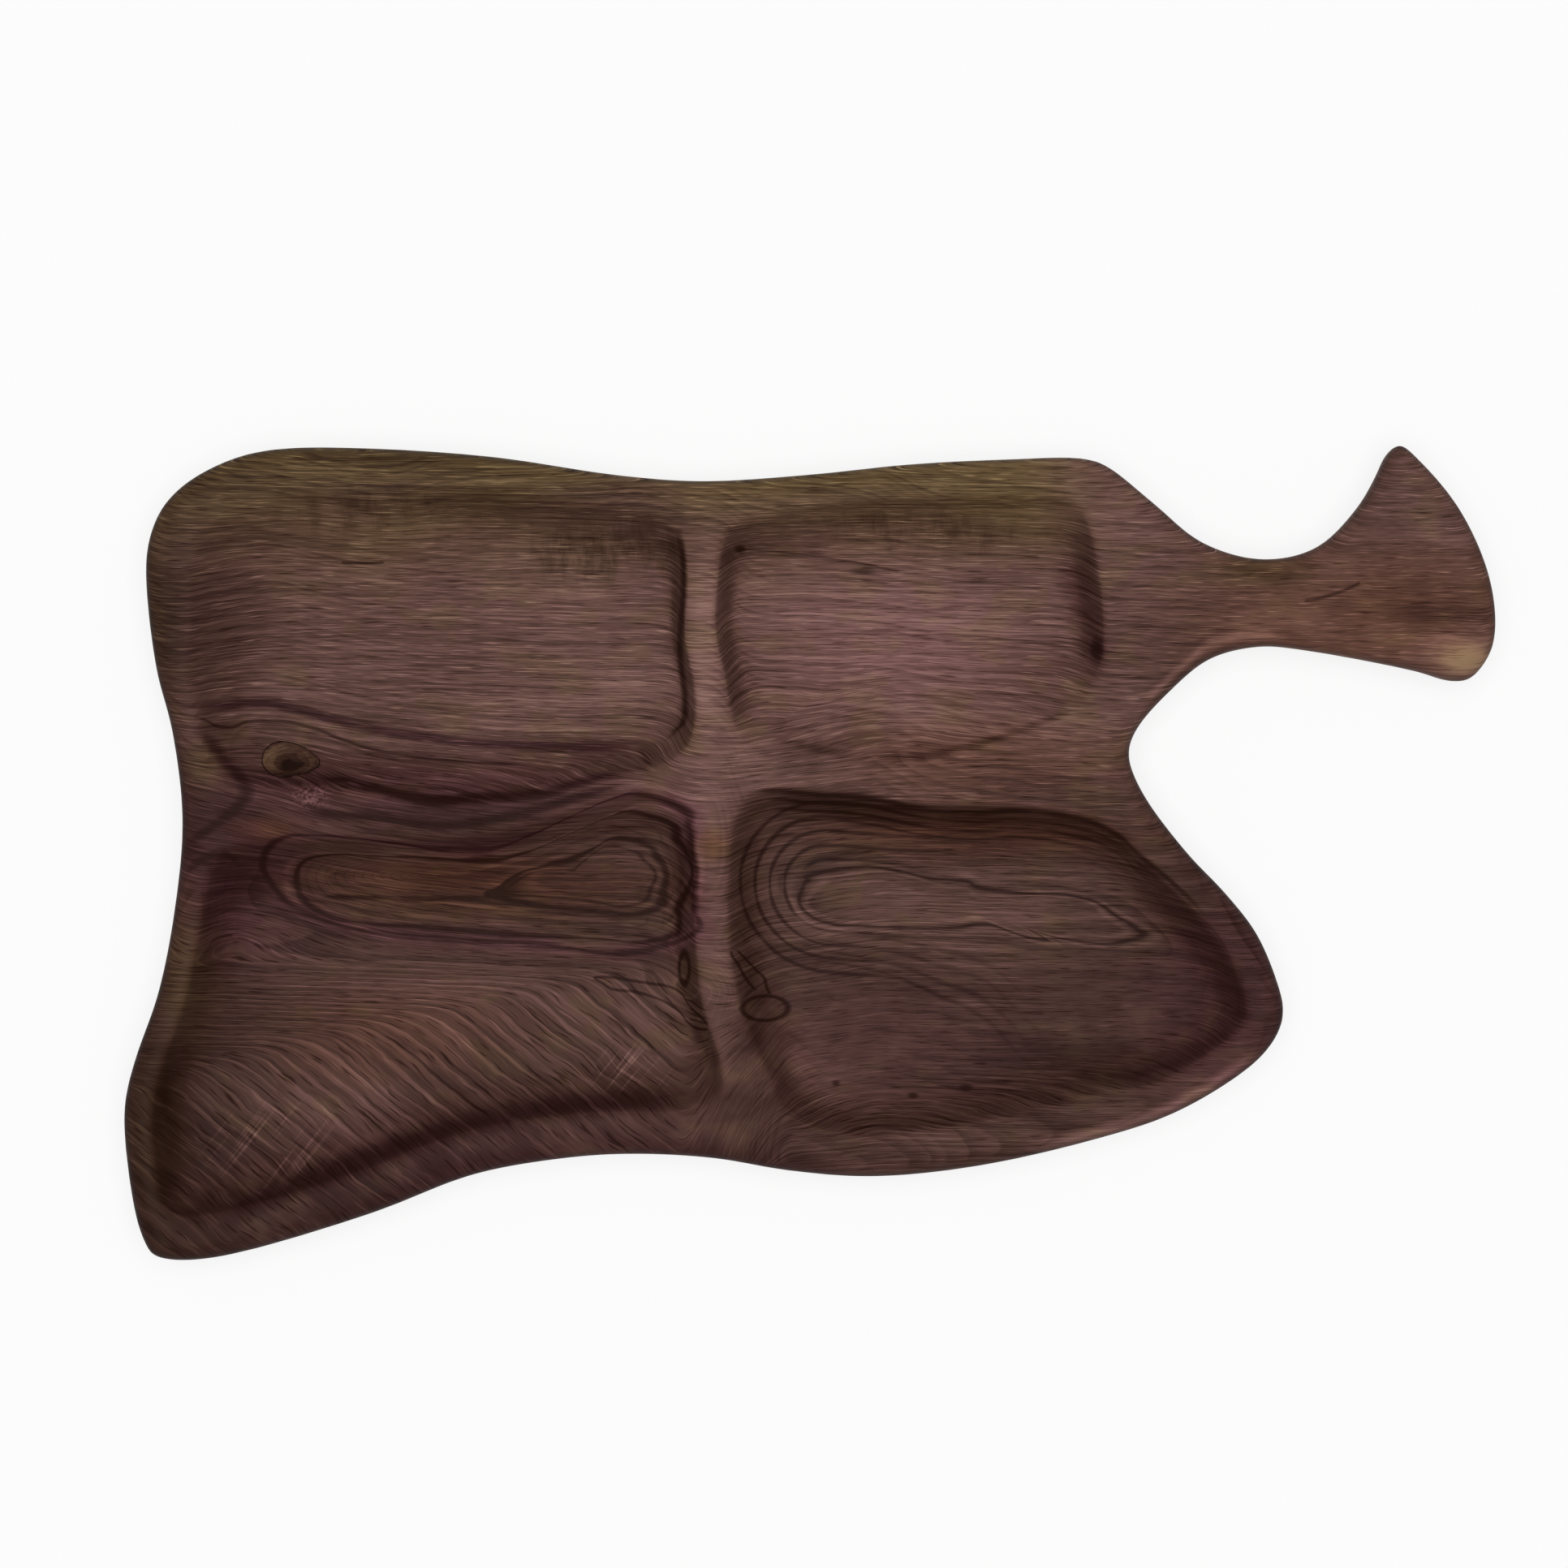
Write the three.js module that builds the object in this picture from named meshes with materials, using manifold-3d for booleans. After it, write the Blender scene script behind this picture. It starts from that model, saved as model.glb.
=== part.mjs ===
// A four-well appetizer dish carved from one walnut slab, with a flared handle and an encased knot.
// Millimetres, +Z up. The origin is on the base, under the crossing of the two dividers.
// +X points along the grain towards the handle, and +Y across the grain towards the two upper wells.
import * as THREE from "three";
import Module from "manifold-3d";

// Slab
const THICKNESS = 26;
const TOP_ROUND = 6;
const BASE_ROUND = 8;

// Body edges, measured from the crossing of the dividers
const TOP_LEFT_HEIGHT = 107.2;
const TOP_DIP_HEIGHT = 96.5;
const TOP_RIGHT_HEIGHT = 104;
const SHOULDER_REACH = 120;
const LEFT_REACH = 186.5;
const WAIST_REACH = 174.5;
const LOBE_REACH = 193.6;
const LOBE_DEPTH = 159.2;
const BOTTOM_DIP_DEPTH = 124.3;
const BELLY_DEPTH = 131.7;
const RIGHT_REACH = 186.8;
const RIGHT_TIP_DEPTH = 77;
const NOTCH_REACH = 136;
const NOTCH_HEIGHT = 6.7;

// Handle, measured from the middle of its neck
const NECK_REACH = 180;
const NECK_HEIGHT = 56.5;
const NECK_WIDTH = 28.6;
const HANDLE_LENGTH = 76.4;
const FLARE_RISE = 51.9;
const FLARE_DROP = 25.4;

// Width of the rim from the outline to the lip of a well
const TOP_RIM = 10.5;
const LEFT_RIM = 8.5;
const BOTTOM_RIM = 13.5;
const RIGHT_RIM = 11;
const LEFT_CORNER_RIM = 11;

// Dividers: the width of the flat land between the lips
const UPPER_DIVIDER_WIDTH = 10;
const LOWER_DIVIDER_WIDTH = 13;
const LEFT_ARM_WIDTH = 5.5;
const LEFT_ARM_END_WIDTH = 18;
const RIGHT_ARM_WIDTH = 12;
const RIGHT_ARM_END_WIDTH = 38;
const HANDLE_LAND = 6;

// Wells: the depth at the foot of the walls, the extra dish of the floor, and the level run of each sloping wall
const WELL_DEPTH = 16;
const FLOOR_DISH = 1;
const CORNER_EASE = 6;
const UPPER_LEFT_RUNS = { rim: 20, corner: 52, divider: 5.5, arm: 16 };
const UPPER_RIGHT_RUNS = { rim: 20, divider: 8, arm: 28, handle: 11 };
const LOWER_LEFT_RUNS = { rim: 15, divider: 9, arm: 18 };
const LOWER_RIGHT_RUNS = { rim: 15, divider: 16, arm: 11 };

// Knot, and the seam around it
const KNOT_X = -139;
const KNOT_Y = 5.5;
const KNOT_LENGTH = 24.5;
const KNOT_WIDTH = 13.5;
const KNOT_FOOT_LENGTH = 12;
const KNOT_FOOT_WIDTH = 7;
const KNOT_TURN = THREE.MathUtils.degToRad(-8);
const KNOT_POINT = 0.3;
const KNOT_CLEARANCE = 0.3;

// Mesh steps
const STEPS_PER_OUTLINE_POINT = 4;
const STEPS_PER_DIVIDER_POINT = 5;
const WELL_SPOKES = 80;
const KNOT_STEPS = 28;
const TOP_ROUND_STEPS = 3;
const BASE_ROUND_STEPS = 2;
const WALL_STEPS = [0.04, 0.13, 0.27, 0.45, 0.68, 1];
const FLOOR_STEPS = [0.5];
const WALKING_STRIDES = [1.5, 0.2, 0.02];

const wasm = await Module();
wasm.setup();

// The closed outline of the slab, counter-clockwise seen from above, as points to draw a smooth curve through.
// Each point carries the width of the rim beside it.
function outlinePoints() {
  const neckTop = NECK_HEIGHT + NECK_WIDTH / 2;
  const neckFoot = NECK_HEIGHT - NECK_WIDTH / 2;
  const handleEnd = NECK_REACH + HANDLE_LENGTH;
  const flareTop = NECK_HEIGHT + FLARE_RISE;
  const flareFoot = NECK_HEIGHT - FLARE_DROP;

  const leftSide = [
    [-LEFT_REACH, 66],
    [-LEFT_REACH + 3.4, 35],
    [-WAIST_REACH - 3.4, 14.7],
    [-WAIST_REACH, -14.7],
    [-WAIST_REACH - 2.7, -45],
    [-LOBE_REACH + 11, -72],
    [-LOBE_REACH + 4, -92],
    [-LOBE_REACH + 0.6, -105],
    [-LOBE_REACH, -116],
    [-LOBE_REACH + 3.9, -LOBE_DEPTH + 14.2],
    [-LOBE_REACH + 7.4, -LOBE_DEPTH + 4.6],
  ];
  const bottomEdge = [
    [-LOBE_REACH + 11, -LOBE_DEPTH + 1.1],
    [-LOBE_REACH + 18, -LOBE_DEPTH],
    [-LOBE_REACH + 34, -LOBE_DEPTH + 1.7],
    [-112, -LOBE_DEPTH + 15.6],
    [-80, -BOTTOM_DIP_DEPTH - 7],
    [-54, -BOTTOM_DIP_DEPTH - 2],
    [-29, -BOTTOM_DIP_DEPTH],
    [0, -BOTTOM_DIP_DEPTH - 1.4],
    [24, -BELLY_DEPTH + 2],
    [52, -BELLY_DEPTH],
    [88, -BELLY_DEPTH + 3.7],
    [128, -BELLY_DEPTH + 13],
  ];
  const rightSide = [
    [RIGHT_REACH - 37, -RIGHT_TIP_DEPTH - 34.4],
    [RIGHT_REACH - 18, -RIGHT_TIP_DEPTH - 23.8],
    [RIGHT_REACH - 7, -RIGHT_TIP_DEPTH - 15],
    [RIGHT_REACH - 1.5, -RIGHT_TIP_DEPTH - 7],
    [RIGHT_REACH, -RIGHT_TIP_DEPTH],
    [RIGHT_REACH - 2, -RIGHT_TIP_DEPTH + 9],
    [RIGHT_REACH - 8.8, -RIGHT_TIP_DEPTH + 25],
    [NOTCH_REACH + 31.7, NOTCH_HEIGHT - 45.4],
    [NOTCH_REACH + 19, NOTCH_HEIGHT - 32],
    [NOTCH_REACH + 4.3, NOTCH_HEIGHT - 12],
    [NOTCH_REACH, NOTCH_HEIGHT],
    [NOTCH_REACH + 2.4, NOTCH_HEIGHT + 8],
  ];
  const handle = [
    [NECK_REACH - 30, neckFoot - 14.2],
    [NECK_REACH - 17.3, neckFoot - 4],
    [NECK_REACH - 1.3, neckFoot],
    [NECK_REACH + 12, neckFoot - 0.9],
    [handleEnd - 25, flareFoot + 2.8],
    [handleEnd - 16.4, flareFoot + 0.1],
    [handleEnd - 9.6, flareFoot],
    [handleEnd - 5.6, flareFoot + 3],
    [handleEnd - 1.1, flareFoot + 10.7],
    [handleEnd, flareFoot + 21],
    [handleEnd - 3, flareTop - 40],
    [handleEnd - 12.3, flareTop - 20.3],
    [handleEnd - 25.5, flareTop - 4.6],
    [handleEnd - 31.6, flareTop],
    [handleEnd - 35.9, flareTop - 3.5],
    [handleEnd - 39, flareTop - 10],
    [handleEnd - 45, flareTop - 20.3],
    [NECK_REACH + 17.9, neckTop + 4],
    [NECK_REACH, neckTop],
    [NECK_REACH - 20, neckTop + 5.6],
    [NECK_REACH - 36, neckTop + 18.6],
  ];
  const topEdge = [
    [SHOULDER_REACH + 8, TOP_RIGHT_HEIGHT - 2.1],
    [SHOULDER_REACH, TOP_RIGHT_HEIGHT],
    [98, TOP_RIGHT_HEIGHT - 0.3],
    [64, TOP_RIGHT_HEIGHT - 2],
    [32, TOP_DIP_HEIGHT + 2.2],
    [-4, TOP_DIP_HEIGHT],
    [-32, TOP_DIP_HEIGHT + 2],
    [-72, TOP_LEFT_HEIGHT - 2.8],
    [-112, TOP_LEFT_HEIGHT],
    [-LEFT_REACH + 44, TOP_LEFT_HEIGHT - 0.1],
    [-LEFT_REACH + 29, TOP_LEFT_HEIGHT - 3.2],
    [-LEFT_REACH + 14, TOP_LEFT_HEIGHT - 10.8],
    [-LEFT_REACH + 5.7, TOP_LEFT_HEIGHT - 19],
    [-LEFT_REACH + 1.3, TOP_LEFT_HEIGHT - 29],
  ];
  const edges = [
    [leftSide, LEFT_RIM],
    [bottomEdge, BOTTOM_RIM],
    [rightSide, RIGHT_RIM],
    [handle, RIGHT_RIM],
    [topEdge, TOP_RIM],
  ];
  return edges.flatMap(([points, rim]) => points.map(([x, y]) => new THREE.Vector3(x, y, 2 * rim)));
}

// A smooth line through points whose third value is a width
function smoothLine(points, closed, stepsPerPoint) {
  const curve = new THREE.CatmullRomCurve3(points, closed, "centripetal");
  return curve.getPoints(stepsPerPoint * points.length);
}

function dividerLine(places) {
  const points = places.map(([x, y, width]) => new THREE.Vector3(x, y, width));
  return smoothLine(points, false, STEPS_PER_DIVIDER_POINT);
}

// The inward direction at each place of a counter-clockwise loop
function inwardNormals(loop) {
  return loop.map((_, i) => {
    const next = loop[(i + 1) % loop.length];
    const last = loop[(i + loop.length - 1) % loop.length];
    return new THREE.Vector3(last.y - next.y, next.x - last.x, 0).normalize();
  });
}

// The rounding radius at each place of a loop: the radius asked for, eased down where the loop turns tightly
function roundingRadii(loop, radius) {
  const shareOfBend = 0.7;
  const easing = 0.4;
  const limits = loop.map((place, i) => {
    const before = place.clone().sub(loop[(i + loop.length - 1) % loop.length]);
    const after = loop[(i + 1) % loop.length].clone().sub(place);
    const turn = Math.asin((before.x * after.y - before.y * after.x) / (before.length() * after.length()));
    const bend = (2 * turn) / (before.length() + after.length());
    return bend > 0 ? Math.min(radius, shareOfBend / bend) : radius;
  });
  return loop.map((place) =>
    loop.reduce((least, other, j) => Math.min(least, limits[j] + easing * place.distanceTo(other)), radius),
  );
}

// A closed surface through rings of equal count, given from the lowest to the highest.
// Each four-sided patch is split along its shorter diagonal.
function loft(rings) {
  const count = rings[0].length;
  const places = rings.flat();
  const index = [];
  for (let r = 0; r + 1 < rings.length; r++) {
    for (let i = 0; i < count; i++) {
      const a = r * count + i;
      const b = r * count + ((i + 1) % count);
      const c = b + count;
      const d = a + count;
      const shortWay = places[a].distanceTo(places[c]) <= places[b].distanceTo(places[d]);
      index.push(...(shortWay ? [a, b, c, a, c, d] : [a, b, d, b, c, d]));
    }
  }
  const cap = (ring) => THREE.ShapeUtils.triangulateShape(ring.map((p) => new THREE.Vector2(p.x, p.y)), []);
  const highest = (rings.length - 1) * count;
  cap(rings[0]).forEach(([a, b, c]) => index.push(c, b, a));
  cap(rings.at(-1)).forEach(([a, b, c]) => index.push(highest + a, highest + b, highest + c));
  const geometry = new THREE.BufferGeometry();
  geometry.setFromPoints(places);
  geometry.setIndex(index);
  return geometry;
}

function toSolid(geometry) {
  const vertProperties = new Float32Array(geometry.getAttribute("position").array);
  const triVerts = new Uint32Array(geometry.index.array);
  return new wasm.Manifold(new wasm.Mesh({ numProp: 3, vertProperties, triVerts }));
}

function toMesh(name, solid, material) {
  const { vertProperties, triVerts } = solid.getMesh();
  const geometry = new THREE.BufferGeometry();
  geometry.setAttribute("position", new THREE.BufferAttribute(vertProperties, 3));
  geometry.setIndex(new THREE.BufferAttribute(triVerts, 1));
  geometry.computeVertexNormals();
  const mesh = new THREE.Mesh(geometry, material);
  mesh.name = name;
  return mesh;
}

function quarterTurn(steps) {
  return Array.from({ length: steps + 1 }, (_, k) => (k / steps) * (Math.PI / 2));
}

// The uncut slab, with its base edge and its top edge rounded over
function slab(outline) {
  const inward = inwardNormals(outline);
  const baseRounds = roundingRadii(outline, BASE_ROUND);
  const topRounds = roundingRadii(outline, TOP_ROUND);
  const ring = (rounds, share, z) =>
    outline.map((p, i) => p.clone().addScaledVector(inward[i], rounds[i] * share).setZ(z));
  const baseRings = quarterTurn(BASE_ROUND_STEPS).map((angle) =>
    ring(baseRounds, 1 - Math.sin(angle), BASE_ROUND * (1 - Math.cos(angle))),
  );
  const topRings = quarterTurn(TOP_ROUND_STEPS).map((angle) =>
    ring(topRounds, 1 - Math.cos(angle), THICKNESS - TOP_ROUND * (1 - Math.sin(angle))),
  );
  return loft([...baseRings, ...topRings]);
}

// How far a place lies from a line, less half the width that the line has there
function clearOfLine(line, x, y) {
  let least = Infinity;
  for (let i = 0; i + 1 < line.length; i++) {
    const a = line[i];
    const b = line[i + 1];
    const along = ((x - a.x) * (b.x - a.x) + (y - a.y) * (b.y - a.y)) / ((b.x - a.x) ** 2 + (b.y - a.y) ** 2);
    const t = Math.min(Math.max(along, 0), 1);
    const gap = Math.hypot(x - a.x - t * (b.x - a.x), y - a.y - t * (b.y - a.y));
    least = Math.min(least, gap - (a.z + t * (b.z - a.z)) / 2);
  }
  return least;
}

// How far down its wall a place of a well lies: 0 at the lip and 1 where the wall meets the floor.
// Where two walls meet, the corner between them is eased into a round.
function wallShare(well, x, y) {
  let weights = 0;
  let runs = 0;
  for (const [line, run] of well.walls) {
    const weight = Math.exp(-clearOfLine(line, x, y) / CORNER_EASE);
    weights += weight;
    runs += weight * run;
  }
  return (-CORNER_EASE * Math.log(weights)) / (runs / weights);
}

// The place a given share down the wall of a well, found by walking out from its middle
function wallPlace(well, spoke, share) {
  const [x, y] = well.middle;
  const inside = (reach) => wallShare(well, x + reach * spoke.x, y + reach * spoke.y) > share;
  let reach = 0;
  for (const stride of WALKING_STRIDES) {
    while (inside(reach + stride)) reach += stride;
  }
  return new THREE.Vector3(x + reach * spoke.x, y + reach * spoke.y, 0);
}

// Directions from the middle of a well to places spaced evenly along its lip
function wellSpokes(well) {
  const middle = new THREE.Vector3(...well.middle, 0);
  const turns = Array.from({ length: 3 * WELL_SPOKES }, (_, i) => (i / (3 * WELL_SPOKES)) * 2 * Math.PI);
  const lip = turns.map((turn) => wallPlace(well, new THREE.Vector3(Math.cos(turn), Math.sin(turn), 0), 0));
  const spaced = new THREE.CatmullRomCurve3(lip, true).getSpacedPoints(WELL_SPOKES).slice(0, -1);
  return spaced.map((p) => p.sub(middle).normalize());
}

// How far below the rim a wall is, a given share down its run: steep under a soft lip, long into the floor
function wallDrop(share) {
  const lean = 0.65;
  return WELL_DEPTH * THREE.MathUtils.smoothstep(share ** lean, 0, 1);
}

// The wood taken out for one well, its floor slightly dished
function wellCut(well) {
  const spokes = wellSpokes(well);
  const ring = (share, z) => spokes.map((spoke) => wallPlace(well, spoke, share).setZ(z));
  const [lipShare] = WALL_STEPS;
  const lip = ring(-lipShare, THICKNESS + wallDrop(lipShare));
  const walls = WALL_STEPS.map((share) => ring(share, THICKNESS - wallDrop(share)));
  const [mx, my] = well.middle;
  const floors = FLOOR_STEPS.map((share) =>
    walls.at(-1).map((p) => {
      const z = THICKNESS - WELL_DEPTH - FLOOR_DISH * (1 - share * share);
      return new THREE.Vector3(mx + share * (p.x - mx), my + share * (p.y - my), z);
    }),
  );
  return loft([lip, ...walls, ...floors].reverse());
}

// The knot as an uncut plug, pointed at its +X end and narrowing towards the base
function knotPlug(growth) {
  const overrun = 1;
  const upright = new THREE.Vector3(0, 0, 1);
  const loop = (length, width, z) =>
    Array.from({ length: KNOT_STEPS }, (_, i) => {
      const turn = (i / KNOT_STEPS) * 2 * Math.PI;
      const x = (length / 2 + growth) * Math.cos(turn);
      const y = (width / 2 + growth) * Math.sin(turn) * (1 - KNOT_POINT * Math.cos(turn));
      return new THREE.Vector3(x, y, z)
        .applyAxisAngle(upright, KNOT_TURN)
        .add(new THREE.Vector3(KNOT_X, KNOT_Y, 0));
    });
  return loft([
    loop(KNOT_FOOT_LENGTH, KNOT_FOOT_WIDTH, -overrun),
    loop(KNOT_LENGTH, KNOT_WIDTH, THICKNESS + overrun),
  ]);
}

// The rim and the centre lines of the dividers, each point with the width of the land there
const rimLine = smoothLine(outlinePoints(), true, STEPS_PER_OUTLINE_POINT);
const upperDivider = dividerLine([
  [-4, TOP_DIP_HEIGHT, UPPER_DIVIDER_WIDTH],
  [-4, 68, UPPER_DIVIDER_WIDTH],
  [-4.8, 47, UPPER_DIVIDER_WIDTH],
  [-1, 28, UPPER_DIVIDER_WIDTH],
  [0, 0, UPPER_DIVIDER_WIDTH],
]);
const lowerDivider = dividerLine([
  [0, 0, UPPER_DIVIDER_WIDTH],
  [-1, -28, UPPER_DIVIDER_WIDTH],
  [-1, -52, UPPER_DIVIDER_WIDTH],
  [2, -75, LOWER_DIVIDER_WIDTH - 2],
  [8, -92, LOWER_DIVIDER_WIDTH - 2],
  [12, -105, LOWER_DIVIDER_WIDTH],
  [16, -BELLY_DEPTH, LOWER_DIVIDER_WIDTH],
]);
const leftArm = dividerLine([
  [0, 0, UPPER_DIVIDER_WIDTH],
  [-21, -2, LEFT_ARM_WIDTH],
  [-37, -4.5, LEFT_ARM_WIDTH],
  [-64, -12, LEFT_ARM_WIDTH + 3],
  [-85, -15, LEFT_ARM_WIDTH + 5],
  [-115, -13, LEFT_ARM_WIDTH + 8],
  [-WAIST_REACH, -12, LEFT_ARM_END_WIDTH],
]);
const rightArm = dividerLine([
  [0, 0, UPPER_DIVIDER_WIDTH],
  [19, 2, RIGHT_ARM_WIDTH],
  [45, -0.5, RIGHT_ARM_WIDTH],
  [69, -2.5, RIGHT_ARM_WIDTH + 1],
  [96, 1, RIGHT_ARM_WIDTH + 10],
  [NOTCH_REACH, NOTCH_HEIGHT, RIGHT_ARM_END_WIDTH],
]);
const handleRoot = dividerLine([
  [SHOULDER_REACH + 6, TOP_RIGHT_HEIGHT, HANDLE_LAND],
  [NOTCH_REACH, NOTCH_HEIGHT, HANDLE_LAND],
]);
// The upper left corner of the rim, which slopes into its well more gently than the rest
const leftCorner = dividerLine([
  [-LEFT_REACH, 52, 2 * LEFT_CORNER_RIM],
  [-LEFT_REACH + 1.3, TOP_LEFT_HEIGHT - 29, 2 * LEFT_CORNER_RIM],
  [-LEFT_REACH + 14, TOP_LEFT_HEIGHT - 10.8, 2 * LEFT_CORNER_RIM],
  [-LEFT_REACH + 44, TOP_LEFT_HEIGHT - 0.1, 2 * LEFT_CORNER_RIM],
  [-112, TOP_LEFT_HEIGHT, 2 * LEFT_CORNER_RIM],
]);

const wells = [
  {
    middle: [-104, 32],
    walls: [
      [rimLine, UPPER_LEFT_RUNS.rim],
      [leftCorner, UPPER_LEFT_RUNS.corner],
      [upperDivider, UPPER_LEFT_RUNS.divider],
      [leftArm, UPPER_LEFT_RUNS.arm],
    ],
  },
  {
    middle: [62, 47],
    walls: [
      [rimLine, UPPER_RIGHT_RUNS.rim],
      [upperDivider, UPPER_RIGHT_RUNS.divider],
      [rightArm, UPPER_RIGHT_RUNS.arm],
      [handleRoot, UPPER_RIGHT_RUNS.handle],
    ],
  },
  {
    middle: [-90, -74],
    walls: [
      [rimLine, LOWER_LEFT_RUNS.rim],
      [lowerDivider, LOWER_LEFT_RUNS.divider],
      [leftArm, LOWER_LEFT_RUNS.arm],
    ],
  },
  {
    middle: [80, -62],
    walls: [
      [rimLine, LOWER_RIGHT_RUNS.rim],
      [lowerDivider, LOWER_RIGHT_RUNS.divider],
      [rightArm, LOWER_RIGHT_RUNS.arm],
    ],
  },
];

const outline = rimLine.slice(0, -1).map((p) => new THREE.Vector3(p.x, p.y, 0));
const carved = wells.reduce((wood, well) => wood.subtract(toSolid(wellCut(well))), toSolid(slab(outline)));
const board = carved.subtract(toSolid(knotPlug(KNOT_CLEARANCE)));
const knot = carved.intersect(toSolid(knotPlug(0)));

const walnut = new THREE.MeshStandardMaterial({ color: 0x4f3832, roughness: 0.6, metalness: 0 });
const knotWood = new THREE.MeshStandardMaterial({ color: 0x3a251e, roughness: 0.65, metalness: 0 });

const dish = new THREE.Group();
dish.add(toMesh("carved_board", board, walnut));
dish.add(toMesh("eye_knot", knot, knotWood));

export default dish;
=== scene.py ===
# %% [markdown]
# # A carved walnut dish, dressed in Blender
# The real object is a serving dish carved from one slab of dark walnut. It has a wavy rim, a flared handle,
# two dividers that cross between four wells, and an eye-shaped knot on the slope of one well. The solids
# come from a imported CAD model, which fixes every size. Here they get a sanded surface and their wood. The
# first cell loads those solids.

# %% Load the imported solids
import math

import bmesh
import bpy
from mathutils import Matrix, Vector, noise


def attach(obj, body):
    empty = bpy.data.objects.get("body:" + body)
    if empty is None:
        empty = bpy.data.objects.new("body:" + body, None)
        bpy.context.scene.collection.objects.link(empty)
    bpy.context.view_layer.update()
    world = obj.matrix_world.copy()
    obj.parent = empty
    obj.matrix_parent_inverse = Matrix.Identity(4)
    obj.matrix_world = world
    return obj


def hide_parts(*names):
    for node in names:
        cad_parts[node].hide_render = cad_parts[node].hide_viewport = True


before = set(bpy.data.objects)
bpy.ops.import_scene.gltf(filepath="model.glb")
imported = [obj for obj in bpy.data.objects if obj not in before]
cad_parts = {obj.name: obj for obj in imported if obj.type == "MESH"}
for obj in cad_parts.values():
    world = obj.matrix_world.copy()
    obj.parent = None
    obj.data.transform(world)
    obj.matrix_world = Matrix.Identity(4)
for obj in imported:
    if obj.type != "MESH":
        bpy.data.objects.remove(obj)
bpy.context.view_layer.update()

MM = 0.001
scene = bpy.context.scene
scene.view_settings.view_transform = "Standard"
print("solids:", sorted(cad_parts))

# %% [markdown]
# ## The camera
# The dish is seen from straight above. A camera without turn already looks down, with +Y at the top of the
# picture. A short lens close by would show the sides of the rim, so the lens is long and the camera stands
# far off. The width of the picture is the only thing to measure: the lens follows from it and from the
# distance.

# %% Camera
PICTURE_WIDTH = 515.2 * MM
PICTURE_MIDDLE = (22.9 * MM, -2.9 * MM)
CAMERA_HEIGHT = 4.0
WIDEST_LEVEL = 13 * MM

camera_lens = bpy.data.cameras.new("overhead_lens")
camera_lens.lens = camera_lens.sensor_width * (CAMERA_HEIGHT - WIDEST_LEVEL) / PICTURE_WIDTH
camera = bpy.data.objects.new("overhead_camera", camera_lens)
camera.location = (*PICTURE_MIDDLE, CAMERA_HEIGHT)
scene.collection.objects.link(camera)
scene.camera = camera
print("lens in mm:", round(camera_lens.lens, 1))

# %% [markdown]
# ## The board
# The carver hollows the wells with gouges, then sands everything until the tool marks are almost gone. The
# CAD solid has the right form but is made of flat facets, and a subdivision surface would pinch at its long
# thin triangles. So a copy of the solid is merged, filled where the knot sits, and rebuilt by a voxel
# remesh, which covers it with small even squares. The knot is grown a little first, so that both become one
# volume.

# %% Rebuild the solid with even faces
VOXEL = 1.35 * MM
SEAM_OVERLAP = 0.6 * MM
WELD = 0.001 * MM


def merged_bmesh(node):
    """A copy of a CAD node whose loose triangles are joined."""
    bm = bmesh.new()
    bm.from_mesh(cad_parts[node].data)
    bmesh.ops.remove_doubles(bm, verts=bm.verts, dist=WELD)
    bm.normal_update()
    return bm


def new_piece(name, bm):
    """A mesh object made from a bmesh, which is freed."""
    mesh = bpy.data.meshes.new(name)
    bm.to_mesh(mesh)
    bm.free()
    piece = bpy.data.objects.new(name, mesh)
    scene.collection.objects.link(piece)
    return piece


def settle(piece):
    """Turns the modifiers of a piece into its own mesh."""
    depsgraph = bpy.context.evaluated_depsgraph_get()
    mesh = bpy.data.meshes.new_from_object(piece.evaluated_get(depsgraph))
    piece.modifiers.clear()
    piece.data = mesh
    return mesh


grown_knot = merged_bmesh("eye_knot")
for vertex in grown_knot.verts:
    vertex.co += SEAM_OVERLAP * Vector((vertex.normal.x, vertex.normal.y, 0))
filling = new_piece("knot_filling", grown_knot)
whole = merged_bmesh("carved_board")
whole.from_mesh(filling.data)
bpy.data.objects.remove(filling)
board = new_piece("walnut_board", whole)
remesh = board.modifiers.new("even_faces", "REMESH")
remesh.mode = "VOXEL"
remesh.voxel_size = VOXEL
settle(board)
print("faces after the remesh:", len(board.data.polygons))

# %% [markdown]
# ## Sanding and hand work
# Sanding rounds the lips and takes the facets off, and a hand-cut surface is never quite even. Smoothing
# vertices does what sandpaper does. After it, slow noise moves the carved surfaces by a fraction of a
# millimetre, so that light runs over them unevenly. The wave is shifted downwards, so that the dish doesn't
# outgrow its box. The base stays flat, because the dish stands on it.

# %% Sand the surface and leave it slightly uneven
SANDING_PASSES = 6
SANDING_GRIP = 0.5
BASE_LEVEL = 0.4 * MM
TOP_LEVEL = 26 * MM
HAND_WAVE = 0.35 * MM
HAND_WAVE_LENGTH = 34 * MM
HAND_WAVE_CUT = 0.8
GOUGE_WAVE = 0.16 * MM
GOUGE_LENGTH = 11 * MM
GOUGE_SHIFT = Vector((7, 3, 1))
GOUGE_DEPTH = 10 * MM

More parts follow.
